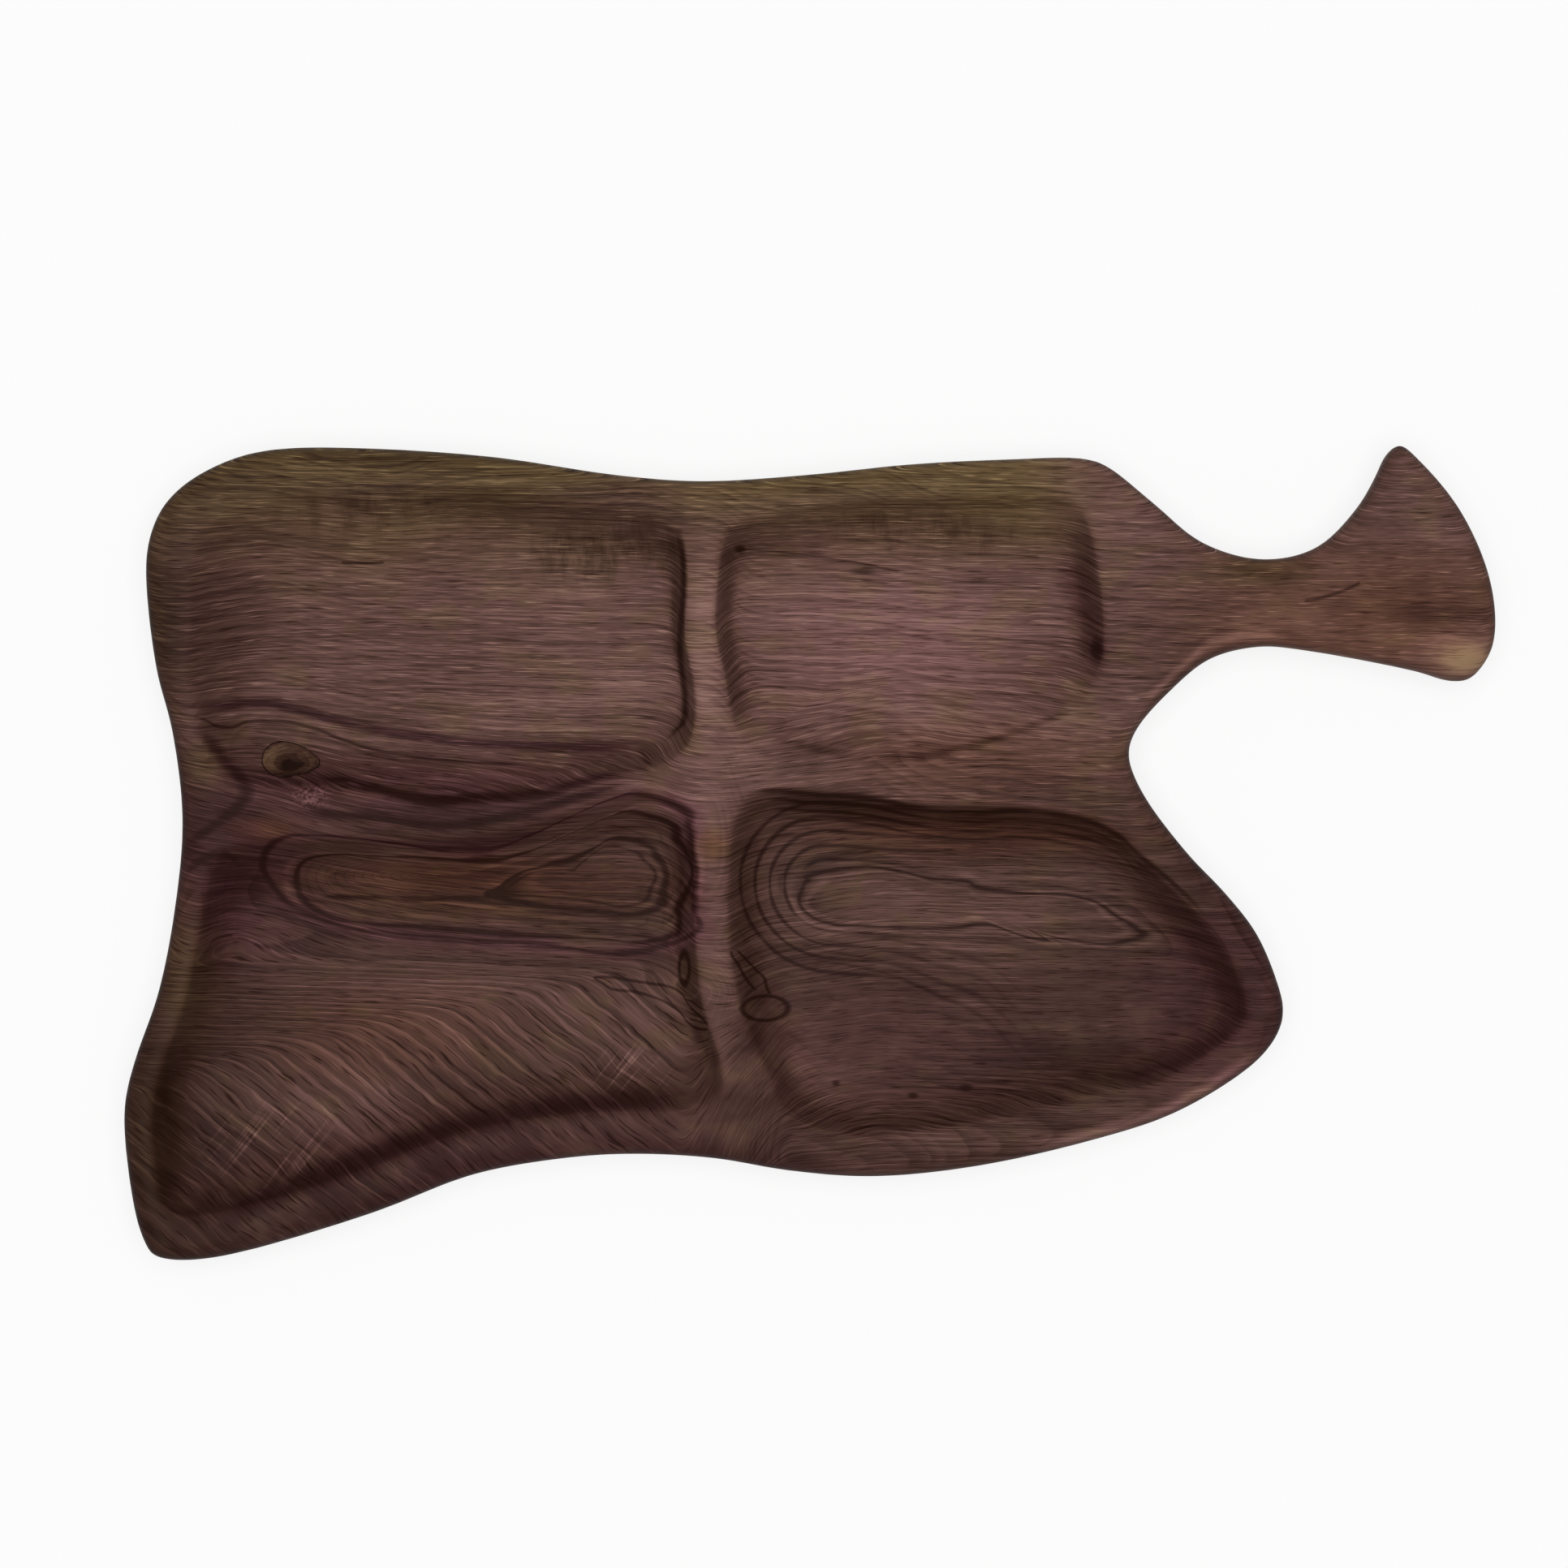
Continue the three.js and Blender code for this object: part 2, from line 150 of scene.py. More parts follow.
bm = bmesh.new()
bm.from_mesh(board.data)
worked = [v for v in bm.verts if v.co.z > BASE_LEVEL]
for _ in range(SANDING_PASSES):
    bmesh.ops.smooth_vert(
        bm, verts=worked, factor=SANDING_GRIP, use_axis_x=True, use_axis_y=True, use_axis_z=True
    )
bm.normal_update()
for vertex in worked:
    up = max(vertex.normal.z, 0)
    slow = noise.noise(vertex.co / HAND_WAVE_LENGTH)
    quick = noise.noise(vertex.co / GOUGE_LENGTH + GOUGE_SHIFT)
    depth = min((TOP_LEVEL - vertex.co.z) / GOUGE_DEPTH, 1)
    move = up * (HAND_WAVE * (slow - HAND_WAVE_CUT) + GOUGE_WAVE * depth * quick)
    vertex.co += move * vertex.normal
bm.to_mesh(board.data)
bm.free()
print("sanded vertices:", len(worked))

# %% [markdown]
# ## The eye knot
# A knot is the foot of a branch. Its wood grew by itself inside the trunk and sits in the board as a
# tapered plug with a thin dark seam round it. It could be painted on, but it is a body of its own in the
# CAD model, so it is cut from the sanded board: the same egg-shaped plug, once grown by the seam, leaves
# the hole, and once as it is, leaves the knot. Both then share one carved surface and lie flush.

# %% Cut the knot out of the board
KNOT_MIDDLE = Vector((-139, 5.5, 0))
KNOT_SIZE = (24.5, 13.5)
KNOT_FOOT_SIZE = (12, 7)
KNOT_TURN = math.radians(-8)
KNOT_POINT = 0.3
KNOT_LEVELS = (-1, 27)
KNOT_STEPS = 60
KNOT_RAGGED = 0.35
KNOT_RAGGED_PACE = 2.3
KNOT_SEAM = 0.3


def knot_plug(name, grow):
    """The uncut plug: a disc drawn out to an egg, pulled up, and widened at its top."""
    bm = bmesh.new()
    bmesh.ops.create_circle(bm, cap_ends=True, segments=KNOT_STEPS, radius=1)
    foot = list(bm.verts)
    drawn = bmesh.ops.extrude_face_region(bm, geom=bm.faces[:])["geom"]
    crown = [v for v in drawn if isinstance(v, bmesh.types.BMVert)]
    for ring, size, level in ((foot, KNOT_FOOT_SIZE, KNOT_LEVELS[0]), (crown, KNOT_SIZE, KNOT_LEVELS[1])):
        for v in ring:
            ragged = KNOT_RAGGED * noise.noise(KNOT_RAGGED_PACE * v.co)
            along = (size[0] / 2 + grow + ragged) * v.co.x
            across = (size[1] / 2 + grow + ragged) * v.co.y * (1 - KNOT_POINT * v.co.x)
            v.co = Vector((along, across, level))
    place = Matrix.Scale(MM, 4) @ Matrix.Translation(KNOT_MIDDLE) @ Matrix.Rotation(KNOT_TURN, 4, "Z")
    bmesh.ops.transform(bm, matrix=place, verts=bm.verts)
    bmesh.ops.recalc_face_normals(bm, faces=bm.faces)
    return new_piece(name, bm)


def cut_with(piece, plug, operation):
    """Cuts a piece with a plug, which is then thrown away."""
    cut = piece.modifiers.new("knot_cut", "BOOLEAN")
    cut.operation = operation
    cut.object = plug
    cut.solver = "EXACT"
    settle(piece)
    bpy.data.objects.remove(plug)


knot = bpy.data.objects.new("eye_knot_wood", board.data.copy())
scene.collection.objects.link(knot)
cut_with(knot, knot_plug("knot_core", 0), "INTERSECT")
cut_with(board, knot_plug("knot_hole", KNOT_SEAM), "DIFFERENCE")
print("knot faces:", len(knot.data.polygons), "board faces:", len(board.data.polygons))

# %% [markdown]
# ## Lighter underside, smooth shading and notes for the wood
# The base is flat, so it needs few faces. A Decimate modifier with a vertex group thins only that side.
# Then both pieces are shaded smooth, with creases only at real edges such as the seam. Walls that cross the
# grain show the open ends of the fibres, which drink more oil and turn darker. Steep walls get painted shade,
# and walls that face the upper edge of the picture get a little painted light. Each vertex therefore keeps
# three notes for the wood to read later: how far it faces along the grain, how steep it is, and how far it
# faces the upper edge of the picture.

# %% Thin the base, shade smooth and note how each vertex faces
BASE_KEEP = 0.62
BASE_SKIN = BASE_LEVEL / 8
CREASE = math.radians(50)

base_group = board.vertex_groups.new(name="base")
base_group.add([v.index for v in board.data.vertices if v.co.z < BASE_SKIN], 1.0, "REPLACE")
thin = board.modifiers.new("thin_base", "DECIMATE")
thin.ratio = BASE_KEEP
thin.vertex_group = base_group.name
settle(board)
board.vertex_groups.clear()
for vertex in board.data.vertices:
    vertex.co.z = max(vertex.co.z, 0)
facing = {"end_grain": lambda n: n.x**2, "steep": lambda n: 1 - abs(n.z), "upward": lambda n: max(n.y, 0)}
for piece in (board, knot):
    piece.data.materials.clear()
    piece.data.shade_smooth()
    piece.data.set_sharp_from_angle(angle=CREASE)
    for name, value in facing.items():
        share = piece.data.attributes.new(name, "FLOAT", "POINT")
        share.data.foreach_set("value", [value(v.normal) for v in piece.data.vertices])
    piece.data.calc_loop_triangles()
    print(piece.name, "triangles:", len(piece.data.loop_triangles))

# %% [markdown]
# ## Writing shader maths as Python
# Wood is easiest to describe with formulas, and a formula made of nodes is hard to read. This small class
# wraps a socket: adding two of them makes a Math node, and so on. One method makes any other node from its
# type, its settings and its inputs.

# %% A socket that can be calculated with


class Field:
    """A socket of a material. Operators on it add Math nodes, and node() adds any other node."""

    def __init__(self, tree, socket=None):
        self.tree = tree
        self.socket = socket

    def node(self, kind, settings=None, inputs=None, output=0):
        made = self.tree.nodes.new(kind)
        for name, value in (settings or {}).items():
            if name == "stops":
                set_stops(made.color_ramp, value)
            elif name == "points":
                set_points(made.mapping.curves[0], value)
            else:
                setattr(made, name, value)
        for key, value in (inputs or {}).items():
            if isinstance(value, Field):
                self.tree.links.new(value.socket, made.inputs[key])
            else:
                made.inputs[key].default_value = value
        return Field(self.tree, made.outputs[output] if len(made.outputs) else None)

    def maths(self, operation, *terms):
        return self.node("ShaderNodeMath", {"operation": operation}, dict(enumerate((self, *terms))))

    def __add__(self, other):
        return self.maths("ADD", other)

    def __sub__(self, other):
        return self.maths("SUBTRACT", other)

    def __rsub__(self, other):
        return self.node("ShaderNodeMath", {"operation": "SUBTRACT"}, {0: other, 1: self})

    def __mul__(self, other):
        return self.maths("MULTIPLY", other)

    def __truediv__(self, other):
        return self.maths("DIVIDE", other)

    def __neg__(self):
        return self.maths("MULTIPLY", -1)

    __radd__ = __add__
    __rmul__ = __mul__

    def size(self):
        return self.maths("ABSOLUTE")

    def root(self):
        return self.maths("SQRT")

    def fraction(self):
        return self.maths("FRACT")

    def least(self, other):
        return self.maths("MINIMUM", other)

    def most(self, other):
        return self.maths("MAXIMUM", other)

    def rise(self, low, high, start=0, end=1):
        """A soft step from start, below low, to end, above high."""
        ends = {"Value": self, "From Min": low, "From Max": high, "To Min": start, "To Max": end}
        return self.node("ShaderNodeMapRange", {"interpolation_type": "SMOOTHSTEP"}, ends)

    def fall(self, low, high):
        """1 below low, 0 above high, and a soft step between them."""
        return self.rise(low, high, 1, 0)

    def hump(self, reach):
        """1 where the field is 0, falling softly to 0 at plus or minus reach."""
        return self.size().fall(0, reach)

    def curve(self, points):
        """A smooth curve through (place, value) points, read at this field."""
        (first, _), (last, _) = points[0], points[-1]
        low = min(value for _, value in points)
        span = max(value for _, value in points) - low
        shares = [((place - first) / (last - first), (value - low) / span) for place, value in points]
        share = self.maths("MULTIPLY_ADD", 1 / (last - first), first / (first - last))
        drawn = self.node("ShaderNodeFloatCurve", {"points": shares}, {"Value": share})
        return drawn.maths("MULTIPLY_ADD", span, low)

    def vector(self, x, y, z):
        return self.node("ShaderNodeCombineXYZ", inputs={"X": x, "Y": y, "Z": z})

    def noise(self, x, y, z, detail=2.0, rough=0.5):
        place = self.vector(x, y, z)
        inputs = {"Vector": place, "Scale": 1.0, "Detail": detail, "Roughness": rough}
        return self.node("ShaderNodeTexNoise", inputs=inputs)

    def mixed(self, first, second, blend="MIX"):
        """A colour between two others, with this field as the factor."""
        return self.node(
            "ShaderNodeMix",
            {"data_type": "RGBA", "blend_type": blend},
            {0: self, 6: first, 7: second},
            output=2,
        )

    def finish(self):
        """Makes this shader the surface of its material."""
        self.node("ShaderNodeOutputMaterial", inputs={"Surface": self})


def set_stops(ramp, stops):
    while len(ramp.elements) < len(stops):
        ramp.elements.new(0.5)
    for element, (position, colour) in zip(ramp.elements, stops):
        element.position = position
        element.color = colour


def set_points(curve, points):
    while len(curve.points) < len(points):
        curve.points.new(0.5, 0.5)
    for point, place in zip(curve.points, points):
        point.location = place


def stain(red, green, blue):
    """A colour given as on a colour chart, 0 to 255, as a shader's linear colour."""
    shares = (channel / 255 for channel in (red, green, blue))
    return (*(s / 12.92 if s <= 0.04045 else ((s + 0.055) / 1.055) ** 2.4 for s in shares), 1.0)


def new_material(name):
    """An empty material with the millimetre coordinates of the piece that wears it."""
    material = bpy.data.materials.new(name)
    material.use_nodes = True
    material.node_tree.nodes.clear()
    start = Field(material.node_tree)
    place = start.node("ShaderNodeTexCoord", output="Object")
    parts = [start.node("ShaderNodeSeparateXYZ", inputs={"Vector": place}, output=k) for k in range(3)]
    return material, [part * 1000 for part in parts]


print("linear walnut brown:", [round(c, 3) for c in stain(82, 58, 53)])

# %% [markdown]
# ## How the log lies in the board
# A board is a slice of a log, and its pattern is nothing but the growth rings cut open. So the wood is a
# solid texture: every point of the board knows its distance from the pith, the middle of the log. The pith
# runs lengthwise a little under the board. Far from it the rings cut the surface as straight lines. Above
# it, and wherever a well dips towards it, they open into ovals and loops, as they do on the real dish. A
# real pith is not straight, so its course is given by four curves along the board: how far across it lies,
# how deep, how the rings lean with height, and how they fan out on the lower side. The points of these four
# curves were not chosen by hand. A least-squares program found most of them, from rings that were traced
# on the photo.

# %% Distance from the pith
PITH_ACROSS = [
    (-195, -5), (-150, -13.6), (-110, -23.5), (-85, -26.6), (-65, -28.4), (-45, -29.2), (-25, -29.5),
    (-5, -34.2), (20, -35), (45, -37.2), (75, -42.1), (105, -45.2), (140, -49.1), (175, -53), (260, -60),
]
PITH_LEVEL = [
    (-195, -18.2), (-150, -20.9), (-110, -21.4), (-85, -22.5), (-65, -22.5), (-45, -21.4), (-25, -20.4),
    (-5, -20.4), (20, -34.3), (45, -32.8), (75, -33.9), (105, -33.7), (140, -33.5), (260, -32),
]
RING_LEAN = [
    (-195, -0.2), (-170, -0.18), (-110, 0.02), (-60, 0.8), (25, 0.8), (80, 0.28), (140, 0.09), (260, 0),
]
FAN = [
    (-195, 0.67), (-130, 0.59), (-90, 0.63), (-50, 0.66), (-10, 0.6), (40, 0.49), (90, 0.66), (140, 0.72),
    (260, 0.72),
]
FLOOR_LEVEL = 10
FAN_START = 20
FIBRE_TILT = 0.35
PITH_MIDDLE = -28


def log_fields(x, y, z):
    """The distance from the pith, and a lane number that stays the same along a fibre."""
    sway = (x.noise(x * 0.012, y * 0.03, z * 0.03, detail=1.0) - 0.5) * 2.4
    ripple = (x.noise(x * 0.04, y * 0.11, z * 0.11 + 9.1, detail=2.0) - 0.5) * 1.2
    beside = y - x.curve(PITH_ACROSS) + sway + ripple
    across = beside - x.curve(RING_LEAN) * (z - FLOOR_LEVEL)
    spread = across + (-across - FAN_START).most(0) * x.curve(FAN)
    lift = z - x.curve(PITH_LEVEL)
    straighter = (x.curve(PITH_ACROSS) - PITH_MIDDLE) * y.rise(-2, 42).most(x.rise(-10, 60)) * 0.9
    return (spread * spread + lift * lift).root(), beside + straighter + z * FIBRE_TILT


print("pith depth at the handle end in mm:", PITH_LEVEL[-1][1])

# %% [markdown]
# ## Marks in the wood
# No two boards have the same marks, and a few make this one recognisable: rings that close into long loops,
# a sliver and a keyhole-shaped figure beside the lower divider, dark streaks, and some fine checks. An open
# mark is a curve, y over x or x over y. It is dark where the distance to the curve is small. A closed mark
# is a curve of its radius over the direction from its middle, in coordinates squeezed until the loop is
# about as long as wide. Dividing by the steepness of those coordinates gives back millimetres. A patch is a
# soft round area with a lighter or darker tone, as sapwood, heartwood and stains leave them.

# %% Lines, loops and patches


def line_mark(along, across, points, width, tail=1.2):
    """1 on a curve of (along, across) points, fading to 0 at the width and over the tail at both ends."""
    first, last = points[0][0], points[-1][0]
    ends = along.rise(first, first + tail) * along.fall(last - tail, last)
    return (across - along.curve(points)).hump(width) * ends


def loop_way(x, y, points):
    """The way out from a closed line through points, in mm, less than 0 inside it."""
    xs, ys = zip(*points)
    middle = ((min(xs) + max(xs)) / 2, (min(ys) + max(ys)) / 2)
    half = ((max(xs) - min(xs)) / 2, (max(ys) - min(ys)) / 2)
    squeezed = [((px - middle[0]) / half[0], (py - middle[1]) / half[1]) for px, py in points]
    polar = sorted((math.atan2(v, u), math.hypot(u, v)) for u, v in squeezed)
    turn = [(angle - 2 * math.pi, out) for angle, out in polar[-3:]] + polar
    turn += [(angle + 2 * math.pi, out) for angle, out in polar[:3]]
    u = (x - middle[0]) / half[0]
    v = (y - middle[1]) / half[1]
    reach = (u * u + v * v).root()
    steepness = (u * u / half[0] ** 2 + v * v / half[1] ** 2).root() / reach
    return (reach - v.maths("ARCTAN2", u).curve(turn)) / steepness


def every(way, step):
    """The way to the nearest of many lines that follow each other at even steps."""
    return ((way / step + 0.5).fraction() - 0.5) * step


def oval_distance(x, y, middle, radii):
    """Distance from the middle of an oval, 1 on its outline."""
    squeeze = (1 / radii[0], 1 / radii[1], 0)
    shift = (-middle[0] / radii[0], -middle[1] / radii[1], 0)
    place = x.vector(x, y, 0)
    squeezed = x.node("ShaderNodeVectorMath", {"operation": "MULTIPLY_ADD"}, {0: place, 1: squeeze, 2: shift})
    return x.node("ShaderNodeVectorMath", {"operation": "LENGTH"}, {0: squeezed}, output="Value")


def oval_mark(x, y, middle, radii, width):
    return (oval_distance(x, y, middle, radii) - 1).hump(width / min(radii))


def patches(x, y, areas):
    """The sum of soft areas, each given by its middle, its radii and its strength."""
    total = 0
    for middle, radii, strength in areas:
        total = total + oval_distance(x, y, middle, radii).rise(0.1, 1.0, strength, 0)
    return total


helpers = (line_mark, loop_way, every, oval_mark, patches)
print("helpers for marks:", [helper.__name__ for helper in helpers])

# %% [markdown]
# ## The walnut
# Each year's ring starts pale with open pores and ends in a dark line. Some years are much darker than
# others. In the lower left well the years bend down into a fan, so there the ring count follows two slopes
# that blend. On top of the rings come long fine fibres, short dark pores and pale flecks, which are painted
# glints. Each is a noise that is stretched by its factors: a small one along x makes long streaks, and a
# plain number only picks another slice of the noise.

# %% Years, fibres and pores
RING = 2.3
FAN_RING = 1.7
FAN_FIRST_YEAR = 17.5
FAN_FIRST_LANE = 27
FAN_BLEND = 5.0
FAN_LEAN = 0.03
FAN_SHIFT = 4.5
BEND_LEAN = 0.8
BEND_SHIFT = -140.6
BEND_SPREAD = 3.88
walnut, (x, y, z) = new_material("oiled_walnut")
radius, lane = log_fields(x, y, z)
drift = (x.noise(x * 0.05, y * 0.09, z * 0.05 + 2.2, detail=2.0) - 0.5) * 2.4

straight = y + x * FAN_LEAN + FAN_SHIFT
bent = (y + x * BEND_LEAN + BEND_SHIFT) / BEND_SPREAD
fan = straight.maths("SMOOTH_MAX", bent, FAN_BLEND) + drift * 0.5
in_fan = (y + x * FAN_LEAN).fall(-72, -54) * x.fall(-12, 26)
age = radius / RING + x.noise(x * 0.006, radius * 0.16, 3.7, detail=1.0) * 1.6
age = age * (1 - in_fan) - (fan / FAN_RING + FAN_FIRST_YEAR) * in_fan
lane = lane * (1 - in_fan) + (fan + FAN_FIRST_LANE) * in_fan
season = age.fraction()
strength = x.node("ShaderNodeTexWhiteNoise", {"noise_dimensions": "1D"}, {"W": age.maths("FLOOR")})
late = season.rise(0.15, 0.9) * season.fall(0.9, 1.0) * (strength * 0.8 + 0.2)

fibre = x.noise(x * 0.014, lane * 1.15, 0.4, detail=4.0, rough=0.65)
thread = x.noise(x * 0.05, lane * 3.2, 5.0, detail=2.0, rough=0.6)
pore = x.noise(x * 0.11, lane * 3.6, 2.0, detail=1.0).rise(0.58, 0.7)
# painted glints: short pale dashes along the fibres
glint_fleck = x.noise(x * 0.09, lane * 2.9, 11.0, detail=1.0).rise(0.59, 0.72)
band = x.noise(x * 0.005, radius * 0.09, 8.3, detail=2.0)
patch = x.noise(x * 0.017, y * 0.03, z * 0.03 + 4.0, detail=3.0)
fade = x.noise(x * 0.035, y * 0.1, 6.1, detail=2.0).rise(0.28, 0.58) * 0.6 + 0.4
print("nodes with the years and fibres:", len(walnut.node_tree.nodes))

# %% [markdown]
# The loops are the years that the wells cut open above the pith. Their courses are given in millimetres,
# measured from the crossing of the dividers. Around the loop of the lower right well the next years follow
# at even steps.

# %% Courses of the loops
well_loop = [
    (28, -40), (30.7, -34.7), (34.7, -32), (45.3, -30.4), (58.7, -31.2), (72, -33.9), (82.7, -34.9),
    (89.3, -37.6), (98.7, -38.7), (112, -38.9), (122.7, -40.8), (130.7, -45.3), (137.9, -50.1),
    (134.7, -54.7), (122.7, -54.9), (109.9, -54.1), (105.3, -51.5), (98.7, -49.3), (89.3, -48.8),
    (80, -50.1), (67.2, -50.1), (48, -49.6), (34.7, -47.7), (30.7, -45.3),
]
well_edge = [
    (6.9, -32), (10.7, -44), (17.3, -51.5), (25.3, -56.8), (32, -60), (48, -63.2), (58.7, -66),
    (71.4, -71.5), (88.6, -80.3), (100.7, -92.5), (116, -110),
]
drop_loop = [
    (-74.5, -39.3), (-71, -37), (-67.5, -34.5), (-64, -32.2), (-50.7, -28.5), (-40, -24.5), (-29.3, -20.8),
    (-22.7, -22.7), (-18.1, -28), (-16, -34.7), (-17.3, -41.3), (-21.3, -44.5), (-34.7, -45.1),
    (-50.7, -44), (-64, -41.9), (-67.5, -41.2), (-71, -40.4),
]
trough_loop = [
    (-137.3, -34.7), (-135.5, -29.1), (-128, -26.4), (-101.3, -26.9), (-74.7, -28), (-61.3, -25.3),
    (-48, -19.5), (-37.3, -14.7), (-26.7, -12), (-17.3, -14.7), (-11.2, -22.7), (-9.3, -38.7), (-12, -49.3),
    (-17.3, -53.9), (-34.7, -54.1), (-61.3, -52.5), (-88, -50.7), (-114.7, -48.8), (-128, -46.1),
    (-134.7, -41.3),
]
outer_loop = [
    (-148, -28), (-144, -21.9), (-128, -20), (-101.3, -22.7), (-88, -24.5), (-74.7, -24.5), (-61.3, -20),
    (-48, -14.1), (-34.7, -8.3), (-24, -6.1), (-13.3, -9.3), (-8, -17.3), (-5.9, -30.7), (-6.4, -44),
    (-9.3, -53.3), (-21.3, -57.3), (-48, -56.8), (-74.7, -54.7), (-101.3, -52.5), (-122.7, -49.9),
    (-136, -44.5), (-144.5, -37.3),
]
print("points of the loops:", [len(course) for course in (well_loop, drop_loop, trough_loop, outer_loop)])

# %% [markdown]
# Drawn as thin lines, the loops would look engraved. A ring is never equally dark all along, so slow noise
# swells and fades them, and the drift of the years makes them waver.

# %% Ring loops
NEXT_YEAR = 4.9
EDGE_YEAR = 3.3
TROUGH_YEAR = 3.1
WELL_END = (38, -37)
WELL_END_RADIUS = 10
from_well = loop_way(x, y, well_loop) + drift * 0.5
from_drop = loop_way(x, y, drop_loop) + drift * 0.5
from_trough = loop_way(x, y, trough_loop) + drift * 0.5
from_outer = loop_way(x, y, outer_loop) + drift * 0.4
before = (x - WELL_END[0]).least(0)
below = (y - WELL_END[1] + (x - WELL_END[0]) * 0.07) * 1.06
outwards = (before * before + below * below).root() - WELL_END_RADIUS + drift * 0.3
next_years = every(outwards, NEXT_YEAR)
around_well = from_well.rise(1.5, 3.5) * outwards.fall(18, 26) * x.rise(-2, 12) * x.rise(36, 84, 1, 0.1)
above_edge = (y - x.curve(well_edge)) / x.rise(40, 112, 1, 2.2) + drift * 0.4
edge_years = every(above_edge, EDGE_YEAR)
beyond_edge = above_edge.rise(-1, 0) * above_edge.fall(9, 13) * x.rise(20, 46) * x.fall(70, 116)
swell = fade * 0.9 + 0.3
inner_years = every(from_trough, TROUGH_YEAR)
in_trough = from_trough.fall(-4, -1) * from_drop.rise(0.6, 2.5)
loops = (
    ((from_well / swell).hump(0.9) * 0.85)
    .most((next_years / swell).hump(1.0) * around_well * 0.8)
    .most((edge_years / swell).hump(0.9) * beyond_edge * 0.45)
    .most((from_drop / swell).hump(1.6))
    .most(((from_drop + 3.4) / swell).hump(0.9) * 0.6)
    .most((from_trough / swell).hump(1.4))
    .most(inner_years.hump(0.6) * in_trough * 0.2)
    .most((from_outer / swell).hump(1.7) * 0.85)
)
loops = loops * (fade * 0.4 + 0.6)
print("nodes with the loops:", len(walnut.node_tree.nodes))

# %% [markdown]
# The smaller marks follow: the sliver, the keyhole, painted shadows along the feet and lips of the wells,
# checks, and broad dark bands, two of which are painted shade on well walls. Their courses were traced on
# the photo and are given in millimetres.

# %% Courses of the small marks
sliver_above = [
    (-40.3, -66.7), (-35.5, -66.4), (-27.5, -67.5), (-21.1, -68.5), (-14.7, -69.6), (-10.7, -72),
    (-8.3, -75.7), (-4.8, -78.9), (-1.6, -82.4),
]
sliver_below = [
    (-40.3, -66.7), (-36.8, -68.5), (-33.3, -70.4), (-26.4, -71.2), (-20.5, -72.8), (-16, -74.7),
    (-11.7, -77.6), (-8.3, -81.6), (-5.3, -83.2), (-1.6, -83.3),
]
keyhole_left = [(-70.9, 13.9), (-66.1, 10.1), (-61.6, 7.7), (-58.7, 5.8), (-57.2, 5.7)]
keyhole_right = [(-72.5, 18.7), (-69.6, 17.3), (-66.7, 16.5), (-64.3, 14.1), (-60, 10.1), (-57, 7.2)]
eye_rim = [
    (-25.4, -174), (-19.6, -168.2), (-14.7, -161.4), (-10.8, -156.6), (-5, -153.2), (-1.1, -155.1),
    (5.7, -161.4), (12.5, -166.3), (17.3, -172.1),
]
hook = [(-174, -31), (-167.3, -27.6), (-161.4, -25.6), (-157.6, -27.3), (-154, -31)]
slope_band = [
    (-178, 22), (-162.4, 22.7), (-148.8, 23.6), (-140.1, 22.2), (-134.3, 20.7), (-121.6, 17.3),
    (-112.9, 15.4), (-104.2, 13.6), (-93.5, 12.2), (-80.8, 10.6), (-60.1, 9.6), (-39.5, 9.1), (-20, 9.6),
]
slope_line = [
    (-178, 21), (-167.3, 18.3), (-159.5, 15.7), (-152.7, 17.8), (-144, 17.8), (-133.3, 15.9),
    (-121.6, 11.5), (-108.1, 7.6), (-95.4, 5.7), (-80.8, 4.3), (-56, 3.6),
]
arm_upper = [
    (-139.6, -3.4), (-130.3, -1.3), (-115.9, -3), (-101.4, -7.1), (-91.1, -8.6), (-80.8, -7.5),
    (-68.4, -7.1), (-60.1, -6.5), (-43.6, -2.4), (-26, 1.2),
]
arm_lower = [
    (-139.6, -7.5), (-132.4, -11.7), (-122.1, -13.3), (-111.7, -13.7), (-101.4, -15.2), (-91.1, -16.4),
    (-76.6, -15.2), (-66.3, -13.1), (-56, -10.6), (-43.6, -6.9), (-27, -2.4),
]
# painted shadow along the upper lip of the lower right well; the years below the lip follow its course
lip_shadow_line = [
    (7.7, -11.5), (14.6, -5.5), (31.8, -6), (49, -7.2), (66.2, -10.6), (83.5, -12.4), (100.7, -11.8),
    (117.9, -14.1), (128.3, -17.5), (140.3, -27), (152.4, -37.3), (162.7, -47.7),
]
# painted shade along the foot of the lower slope of the upper right well
right_foot_shade = [
    (8, 24), (10.7, 17.6), (16.1, 12.6), (25.1, 10.8), (37.6, 7.8), (51.9, 5.5), (68.9, 6.4), (80.5, 8.7),
    (93.1, 12.3), (107.4, 17.6), (116.3, 21.2), (125.3, 28.4),
]
# painted shade on the right wall of the upper right well
right_wall_shade = [(26, 122), (36, 126), (43, 126), (52, 122), (59, 120), (70, 118.5), (82, 121.7)]
# painted highlight along the rounded lower right outer edge
rim_highlight = [(98.4, -123.2), (136.4, -114), (156.8, -105), (169.4, -97), (179.2, -90.6), (185.6, -79)]
# painted shade on the lower wall of the lower left well
lower_wall_shade = [
    (-166, -148), (-151, -140.7), (-127.5, -130.5), (-104, -122.5), (-68.5, -112.5), (-26.6, -107),
    (-6, -105),
]
# painted highlight along the rounded lower edge of the neck
neck_highlight = [
    (136.5, 13.8), (139.2, 22), (146.3, 29.2), (155.4, 37.4), (162.8, 42.8), (176, 45.6), (190, 45.4),
]
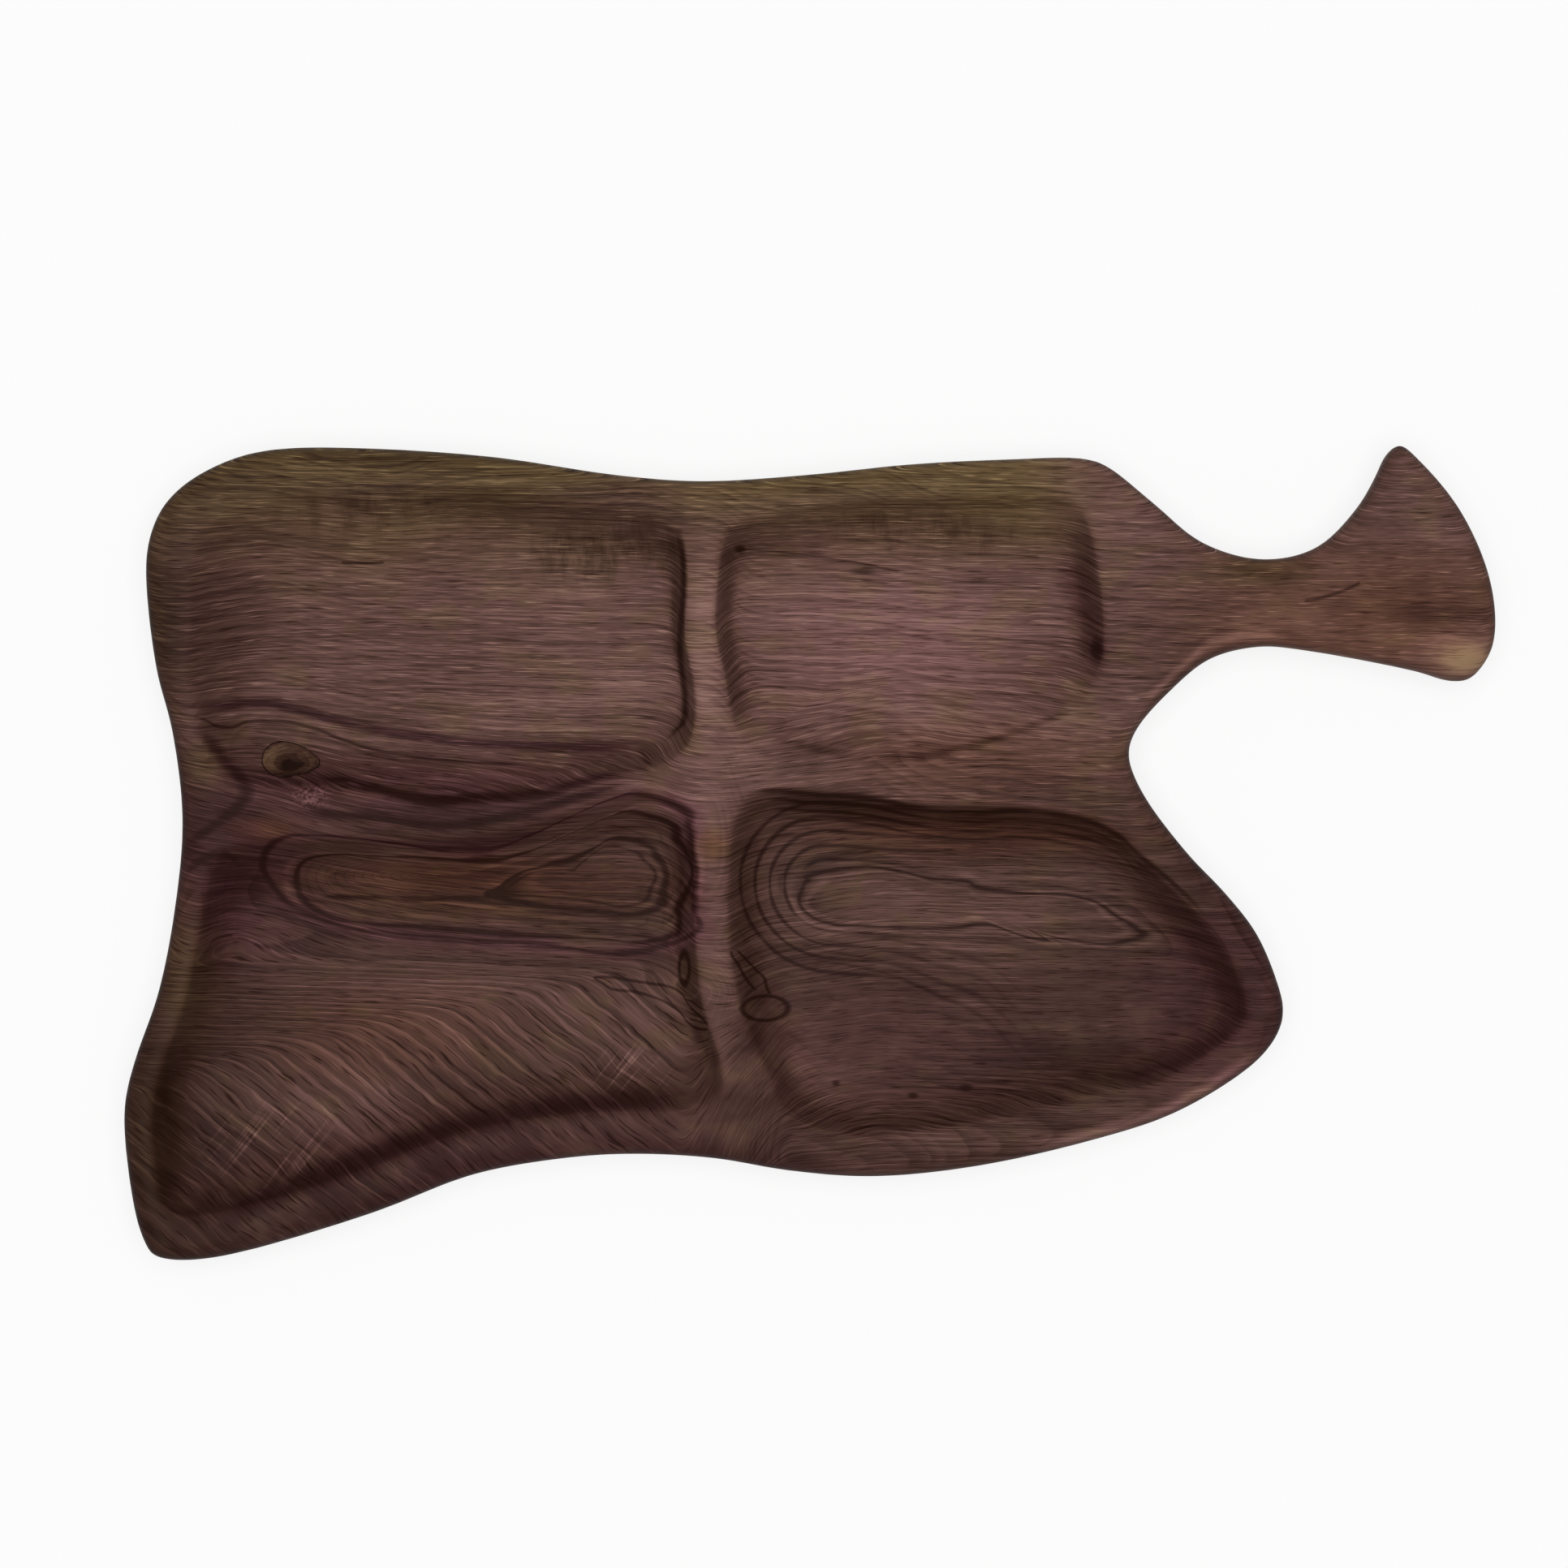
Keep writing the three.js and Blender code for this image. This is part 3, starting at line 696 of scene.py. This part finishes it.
# painted shadow: a dark line at the foot of the upper divider, on the side of the upper left well
divider_foot_shadow = [(10, -19), (15, -12.5), (20.5, -9.6), (41.9, -11.2), (66.9, -9.9), (82, -14)]
trough_streak = [(-131, -40), (-112, -40.3), (-90, -40.8), (-72, -39.5)]
handle_check = [(193, 57), (200, 58.4), (212, 63.2)]
top_check = [(-123, 70.3), (-117, 69.6), (-108, 69.9)]
right_check = [(8, 74.2), (20, 73.4), (42, 70.7), (61, 66.7)]
print("points of the sliver:", len(sliver_above), "above and", len(sliver_below), "below")

# %% [markdown]
# Each course becomes a line with its width and with soft ends. Where several lines meet, the darkest
# counts. Below the lip of the lower right well a few more years follow at even steps.

# %% Thin marks and broad bands
LIP_YEAR = 2.9
below_lip = x.curve(lip_shadow_line) - y + drift * 0.3
lip_years = every(below_lip, LIP_YEAR)
under_lip = below_lip.rise(1.2, 2) * below_lip.fall(7, 11) * x.rise(14, 30) * x.fall(110, 150)
# thin marks, among them painted shadows at the feet and lips of the wells
marks = (
    line_mark(x, y, sliver_above, 0.8)
    .most(line_mark(x, y, sliver_below, 0.8))
    .most(line_mark(y, x, keyhole_left, 0.9))
    .most(line_mark(y, x, keyhole_right, 0.9))
    .most(oval_mark(x, y, (16.8, -76.5), (7.5, 4), 0.9))
    .most(oval_mark(x, y, (-9.9, -63.5), (1.7, 4.9), 0.9))
    .most(line_mark(x, y, slope_line, 0.9, 16) * 0.85)
    .most(line_mark(x, y, trough_streak, 1.3, 8) * (fade * 1.6 - 0.5))
    # painted shadow at the foot of the upper divider
    .most(line_mark(y, x, divider_foot_shadow, 1.7, 8))
    # painted shadow along the lip of the lower right well
    .most(line_mark(x, y, lip_shadow_line, 1.6, 12) * fade)
    .most(lip_years.hump(0.9) * under_lip * (fade * 1.5 - 0.5))
    # painted shade at the foot of the upper right well's lower slope
    .most(line_mark(x, y, right_foot_shade, 2.4, 20) * (fade * 0.9 - 0.25))
    .most(line_mark(x, y, handle_check, 1.0) * 0.8)
    .most(line_mark(x, y, top_check, 0.7))
    .most(line_mark(x, y, right_check, 0.6) * 0.6)
)
# dark grain bands, and painted shade on two well walls
bands = (
    line_mark(x, y, slope_band, 2.6, 24)
    .most(line_mark(x, y, arm_upper, 2.8, 14))
    .most(line_mark(x, y, arm_lower, 2.6, 14))
    .most(line_mark(y, x, eye_rim, 4.2, 8) * 0.8)
    .most(line_mark(x, y, hook, 2.4, 6) * 0.8)
    # painted shade on the lower wall of the lower left well and on the right wall of the upper right well
    .most(line_mark(x, y, lower_wall_shade, 7, 14) * 0.55)
    .most(line_mark(y, x, right_wall_shade, 9, 16) * (fade * 0.5))
)
print("nodes with the thin marks:", len(walnut.node_tree.nodes))

# %% [markdown]
# Grit beside the knot and the scratches of coarse sandpaper come from noise in small areas. All marks were
# seen on the carved side, so `above` keeps them from showing on the base as well.

# %% Grit and scratches
BASE_SIDE = (3, 8)
above = z.rise(*BASE_SIDE)
marks, loops, bands = marks * above, loops * above, bands * above
grit = patches(x, y, [((-132.3, -6.9), (9, 6), 1.0)]) * above
grit = grit * x.noise(x * 1.1, y * 1.3, 0.7, detail=0.0).rise(0.42, 0.62)
stroke, aside = x * 0.62 + y * 0.78, x * 0.78 - y * 0.62
scratch = x.noise(stroke * 0.02, aside * 0.75, 1.3, detail=1.0).rise(0.58, 0.68)
sanded = patches(x, y, [((-147, -121), (30, 20), 1.0), ((-28, -97), (18, 12), 1.0)]) * above
print("nodes with the small marks:", len(walnut.node_tree.nodes))

# %% [markdown]
# The slow changes of colour come next. The wells and the dividers are paler than the rims, one corner of
# the handle is paler still, and a few specks are almost black. Each area is an oval. It has a middle, two
# radii in millimetres and a strength, which says how much paler or darker the wood is there.

# %% Pale and dark areas
TONE_AREAS = {
    "upper right well": ((62, 38), (95, 50), 0.25),
    "upper left well": ((-55, 38), (75, 60), 0.11),
    "crossing": ((0, 0), (34, 26), 0.12),
    "lower divider": ((0, -52), (13, 75), 0.24),
    "upper divider": ((-3, 50), (9, 60), 0.2),
    "ring figure in the lower right well": ((82, -49), (78, 22), 0.2),
    "fan in the lower left well": ((-95, -78), (85, 34), 0.1),
    "left end of the trough": ((-110, -36), (34, 13), 0.12),
    "corner of the lower left well": ((-130, -105), (60, 40), 0.1),
    "left arm": ((-90, -12), (85, 14), -0.14),
    "slope above the arm": ((-75, 5), (72, 9), -0.2),
    "corner below the eye": ((-154, -35), (14, 12), -0.22),
    "triangle on the left rim": ((-166, 2), (9, 14), 0.14),
    "left edge": ((-177, -10), (5, 28), -0.2),
    "gold spot beside the trough": ((-147, -17.6), (16, 6), 0.14),
    "lower left rim": ((-60, -136), (130, 34), -0.16),
    "lower half of the lower right well": ((55, -92), (60, 26), 0.1),
    "pale spot on the handle": ((243, 39), (20, 12), 0.3),
    "dark band on the handle": ((238, 53), (26, 7), -0.2),
    # painted shade on the rounded upper edge of the neck
    "shaded upper side of the neck": ((178, 67), (26, 8), -0.1),
    "lower right rim": ((70, -118), (110, 14), 0.06),
    "around the knot": ((-139, 5.5), (24, 15), -0.1),
    "left rim above the eye": ((-184, 45), (18, 60), -0.16),
    "foot of the lower right well": ((126, -93), (50, 10), -0.16),
    "corner of the handle": ((247, 37.5), (11, 6), 0.3),
    "first dark spot": ((8.5, 74.1), (2.6, 2.2), -0.5),
    "second dark spot": ((49, 67), (6, 2.6), -0.34),
    "third dark spot": ((125.6, 41.3), (3, 6), -0.4),
    "first speck": ((40, -101.3), (2, 1.6), -0.4),
    "second speck": ((65.3, -105.3), (2.6, 1.6), -0.4),
    "third speck": ((82.7, -102.7), (3.2, 1.6), -0.4),
    "dash beside the knot": ((-123, -1.4), (7, 1.2), -0.3),
    "left part of the lower right well": ((30, -92), (22, 24), 0.08),
    "left rim below the eye": ((-172, -62), (15, 42), 0.2),
    "upper rim": ((-110, 104), (70, 10), -0.14),
}
STAIN_AREAS = {
    "right part of the upper left well": ((-38, 74), (48, 17), 1.0),
    "left part of the upper left well": ((-110, 86), (50, 14), 0.6),
    "upper right well": ((65, 80), (66, 13), 0.7),
}
tones = patches(x, y, TONE_AREAS.values()) * above
hanging = patches(x, y, STAIN_AREAS.values())
stains = x.noise(x * 0.12, y * 0.05, 9.1, detail=4.0, rough=0.7).rise(0.42, 0.72) * hanging
print("areas:", len(TONE_AREAS), "pale or dark,", len(STAIN_AREAS), "stained")

# %% [markdown]
# On the lower rim, the lower divider and the handle the fibres are faint, with cloudy mottles in their place.
# Two outer edges get a painted highlight, where their roundover catches the light. Rings are held back at
# the crossing and on the lower divider, because lines across the fibres would look like a weave there.

# %% Where the grain is faint
FAINT_AREAS = {
    "lower half of the lower right well": ((45, -86), (66, 30), 0.6),
    "lower divider": ((3, -100), (24, 50), 0.6),
    "lower right end": ((140, -82), (60, 40), 0.6),
    "foot of the lower divider": ((-6, -112), (34, 22), 0.5),
    "lower left rim": ((-62, -124), (80, 17), 0.75),
    "lower left corner": ((-140, -146), (62, 20), 0.75),
    "left rim": ((-180, -100), (14, 56), 0.5),
    "handle": ((205, 58), (80, 66), 0.55),
}
MOST_FAINT = 0.78
RINGLESS_AREAS = {"crossing": ((0, 4), (34, 30), 0.8), "lower divider": ((0, -60), (15, 60), 0.6)}
faint = patches(x, y, FAINT_AREAS.values()).least(MOST_FAINT)
clear = 1 - faint
fine = clear * (1 - in_fan * 0.35)
ringed = clear - patches(x, y, RINGLESS_AREAS.values()).least(clear)
mottle = x.noise(x * 0.07, y * 0.1, z * 0.1 + 1.7, detail=2.0)
# painted highlights where the roundover of two outer edges catches the light
edge_highlights = line_mark(x, y, rim_highlight, 4, 20).most(line_mark(x, y, neck_highlight, 3, 10) * 0.8)
print("nodes with the areas:", len(walnut.node_tree.nodes))

# %% [markdown]
# All of it adds up to one tone between 0 and 1: a middle brown, plus what makes the wood paler, minus what
# makes it darker. The upper half of the board is paler as a whole and its left end is darker.

# %% Tone
drop_tip = from_drop.fall(-0.8, 1.0) * x.fall(-72, -58) * above
upper = (y + x * 0.04 + (patch - 0.5) * 24).rise(-30, 18)
left_end = (x + (patch - 0.5) * 24).fall(-186, -128)
end_grain, steep, upward = (
    x.node("ShaderNodeAttribute", {"attribute_name": name}, output="Fac") for name in facing
)
tone = (
    0.41
    + tones
    + upper * 0.19
    - left_end * 0.18
    + (fibre - 0.5) * fine
    + (thread - 0.5) * fine * 0.85
    + (band - 0.5) * 0.28
    + (patch - 0.5) * 0.3
    + (mottle - 0.5) * faint * 0.8
    # painted highlights on two outer edges
    + edge_highlights * 0.36
    # painted glints along the fibres
    + glint_fleck * (upper * 0.22 + 0.18)
    + grit * 0.4
    + scratch * sanded * 0.3
    - late * ringed * (0.2 - steep.rise(0.06, 0.3) * 0.16)
    # painted glints: pale streaks beside the ring loops of the two lower wells
    + (from_well.size() - 2.2).hump(1.6) * thread * above * 0.3
    + (from_trough - 3).hump(2.2) * thread * above * 0.26
    + (1 - season).rise(0.7, 1.0) * in_fan * clear * 0.16
    - loops * 0.44
    - bands * (fade * 0.5 + 0.5) * 0.38
    - drop_tip * 0.45
    - stains * 0.3
    - pore * 0.3
    - end_grain * 0.04
    # painted shade on steep walls, and painted light on walls that face the upper edge of the picture
    - steep.rise(0.12, 0.6) * 0.12
    + upward.rise(0.2, 0.7) * 0.05
    - marks * 0.42
)
print("nodes with the tone:", len(walnut.node_tree.nodes))

# %% [markdown]
# The tone becomes colour through a ramp of browns. Olive, gold and purple are then laid over it as thin
# glazes, each in its own areas, because the tint of the wood changes over the board as well as its depth.

# %% Walnut colour
BROWNS = [
    (0.0, stain(33, 14, 8)),
    (0.25, stain(54, 32, 28)),
    (0.5, stain(80, 55, 48)),
    (0.75, stain(108, 77, 71)),
    (1.0, stain(142, 108, 98)),
]
OLIVE_GLAZE = (0.98, 1.28, 0.62, 1)
GOLD_GLAZE = (1.04, 0.88, 0.66, 1)
PURPLE_GLAZE = (1.0, 0.8, 1.08, 1)
OLIVE_AREAS = {
    "left rim below the eye": ((-174, -62), (16, 42), 0.6),
    "left rim above the eye": ((-184, 60), (14, 70), 0.5),
    "triangle on the left rim": ((-167, 3), (10, 13), 0.6),
    "lower left corner": ((-184, -116), (13, 45), 0.6),
    "corner of the handle": ((246, 38), (15, 9), 0.5),
    # painted shade on the upper edge of the neck, glazed olive
    "shaded upper side of the neck": ((178, 67), (26, 9), 0.5),
}
GOLD_AREAS = {
    "trough": ((-78, -37), (95, 17), 1.0),
    "upper wall of the lower right well": ((85, -20), (85, 13), 0.9),
    "right arm": ((90, 4), (70, 20), 0.5),
    "neck": ((200, 50), (80, 40), 0.6),
    "handle": ((235, 58), (40, 26), 0.4),
    "spot beside the trough": ((-147, -17.6), (18, 7), 1.0),
    "fan in the lower left well": ((-110, -85), (70, 26), 0.5),
    "spot on the divider": ((0, -23), (8, 8), 0.9),
}
PURPLE_AREAS = {
    "left arm": ((-100, -6), (120, 20), 0.8),
    "corner below the eye": ((-158, -38), (40, 40), 1.0),
    "right end": ((165, -75), (45, 60), 0.7),
    "lower left rim": ((-60, -130), (150, 35), 0.5),
    "upper right well": ((60, 42), (75, 36), 0.35),
    "lower half of the lower right well": ((60, -90), (80, 34), 0.4),
}
browns = x.node("ShaderNodeValToRGB", {"stops": BROWNS}, {"Fac": tone})
olive_rim = (y + (patch - 0.5) * 50).rise(60, 100) * x.fall(96, 136) * 0.85
olive_mottle = (mottle - 0.5).rise(0.02, 0.16) * 0.26
olive = olive_rim.most(olive_mottle).most(stains * 0.6).most(patches(x, y, OLIVE_AREAS.values()))
gold = patches(x, y, GOLD_AREAS.values())
purple = patches(x, y, PURPLE_AREAS.values()).most(from_outer.hump(6) * 0.9).most(bands * 0.9)
colour = olive.mixed(browns, OLIVE_GLAZE, "MULTIPLY")
colour = gold.mixed(colour, GOLD_GLAZE, "MULTIPLY")
colour = purple.mixed(colour, PURPLE_GLAZE, "MULTIPLY")
print("browns:", len(BROWNS), "glazed areas:", len(OLIVE_AREAS) + len(GOLD_AREAS) + len(PURPLE_AREAS))

# %% [markdown]
# Open pores and the ends of the years lie a little lower than the rest, which the bump follows. The wood
# looks oiled and not varnished, so it gets little shine, and the pores get the least.

# %% Walnut surface
OILED_SHINE = 0.07
relief = (1 - late) * 0.4 + thread * 0.35 - pore * 0.9 - marks * 1.4 - loops * 0.6 - bands * 0.3
bump = x.node("ShaderNodeBump", inputs={"Strength": 0.4, "Distance": 0.25 * MM, "Height": relief})
rough = 0.62 + (thread - 0.5) * 0.2 + pore * 0.12 - late * 0.06
x.node(
    "ShaderNodeBsdfPrincipled",
    inputs={"Base Color": colour, "Roughness": rough, "Specular IOR Level": OILED_SHINE, "Normal": bump},
).finish()
board.data.materials.append(walnut)
print("walnut nodes:", len(walnut.node_tree.nodes))

# %% [markdown]
# ## The knot's wood
# Branch wood is cut across here, so its rings close around a dark heart, and bark darkens its edge. It gets
# a material of its own, built from the same helpers, because its grain has nothing to do with the board's.

# %% Knot material
KNOT_HEART = (-139.3, 3.4)
KNOT_PITH = (-139.8, 4)
KNOT_BROWNS = [(0.0, stain(29, 14, 8)), (0.4, stain(62, 40, 31)), (1.0, stain(112, 86, 64))]
knot_wood, (x, y, z) = new_material("knot_wood")
ragged = (x.noise(x * 0.2, y * 0.3, z * 0.1, detail=2.0) - 0.5) * 0.9
heart = (oval_distance(x, y, KNOT_HEART, (7.2, 4.2)) + ragged).fall(0.2, 1.0)
edge = (oval_distance(x, y, (KNOT_MIDDLE.x, KNOT_MIDDLE.y), (11.3, 6.2)) + ragged * 0.4).rise(0.7, 1.0)
rings = (oval_distance(x, y, KNOT_PITH, (2.4, 1.5)) + ragged * 2).fraction()
grain = x.noise(x * 0.25, y * 1.6, z * 0.4, detail=3.0)
pale = (x + ragged * 5).fall(-146, -139)
knot_tone = 0.52 + pale * 0.26 + (grain - 0.5) * 0.7 - rings * 0.2 - heart * 0.56 - edge * 0.44
knot_colour = x.node("ShaderNodeValToRGB", {"stops": KNOT_BROWNS}, {"Fac": knot_tone})
knot_bump = x.node("ShaderNodeBump", inputs={"Strength": 0.4, "Distance": 0.3 * MM, "Height": knot_tone})
knot_rough = 0.58 + (grain - 0.5) * 0.2
x.node(
    "ShaderNodeBsdfPrincipled",
    inputs={
        "Base Color": knot_colour,
        "Roughness": knot_rough,
        "Specular IOR Level": OILED_SHINE,
        "Normal": knot_bump,
    },
).finish()
knot.data.materials.append(knot_wood)
print("knot nodes:", len(knot_wood.node_tree.nodes))

# %% [markdown]
# ## Floor and light
# A plain white floor and a soft overhead light, as in a small photo tent. The lamp is wide, so the walls of
# the wells get only faint shadows. Rays that show the floor or the sky directly see them nearly white, as
# in the photo, while the light on the dish comes from the lamp and a dim sky.

# %% Floor and light
FLOOR_HALF = 3.0
FLOOR_DROP = 0.02 * MM
FLOOR_PAINT = (0.88, 0.88, 0.88, 1)
FLOOR_GLOW = 0.8
WHITE = (1, 1, 1, 1)
SUN_LEVEL = 2.35
SUN_SPREAD = math.radians(45)
SKY_LEVEL = 0.25

floor_bm = bmesh.new()
bmesh.ops.create_grid(floor_bm, x_segments=1, y_segments=1, size=FLOOR_HALF)
bmesh.ops.translate(floor_bm, verts=floor_bm.verts, vec=(0, 0, -FLOOR_DROP))
floor = new_piece("floor", floor_bm)


def seen_directly(start):
    """1 for rays that show the background itself, 0 for rays that only carry its light."""
    kinds = ("Is Camera Ray", "Is Glossy Ray", "Is Transmission Ray")
    rays = [start.node("ShaderNodeLightPath", output=kind) for kind in kinds]
    return rays[0].most(rays[1]).most(rays[2])


floor_white = bpy.data.materials.new("white_floor")
floor_white.use_nodes = True
floor_white.node_tree.nodes.clear()
start = Field(floor_white.node_tree)
matte = start.node("ShaderNodeBsdfDiffuse", inputs={"Color": FLOOR_PAINT})
glow = start.node("ShaderNodeEmission", inputs={"Color": WHITE, "Strength": 1.0})
start.node("ShaderNodeMixShader", inputs={0: seen_directly(start) * FLOOR_GLOW, 1: matte, 2: glow}).finish()
floor.data.materials.append(floor_white)

sun_lamp = bpy.data.lights.new("overhead_light", "SUN")
sun_lamp.energy = SUN_LEVEL
sun_lamp.angle = SUN_SPREAD
sun = bpy.data.objects.new("overhead_light", sun_lamp)
sun.location = (0, 0, 2)
scene.collection.objects.link(sun)

sky = bpy.data.worlds.new("white_tent")
sky.use_nodes = True
sky.node_tree.nodes.clear()
scene.world = sky
start = Field(sky.node_tree)
level = SKY_LEVEL + seen_directly(start) * (1 - SKY_LEVEL)
tent = start.node("ShaderNodeBackground", inputs={"Color": WHITE, "Strength": level})
start.node("ShaderNodeOutputWorld", inputs={"Surface": tent})
print("light level on a level surface:", round(SUN_LEVEL / math.pi + SKY_LEVEL, 2))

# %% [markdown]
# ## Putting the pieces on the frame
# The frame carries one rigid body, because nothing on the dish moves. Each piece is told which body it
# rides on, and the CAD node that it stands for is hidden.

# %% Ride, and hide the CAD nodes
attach(board, "root")
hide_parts("carved_board")
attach(knot, "root")
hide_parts("eye_knot")
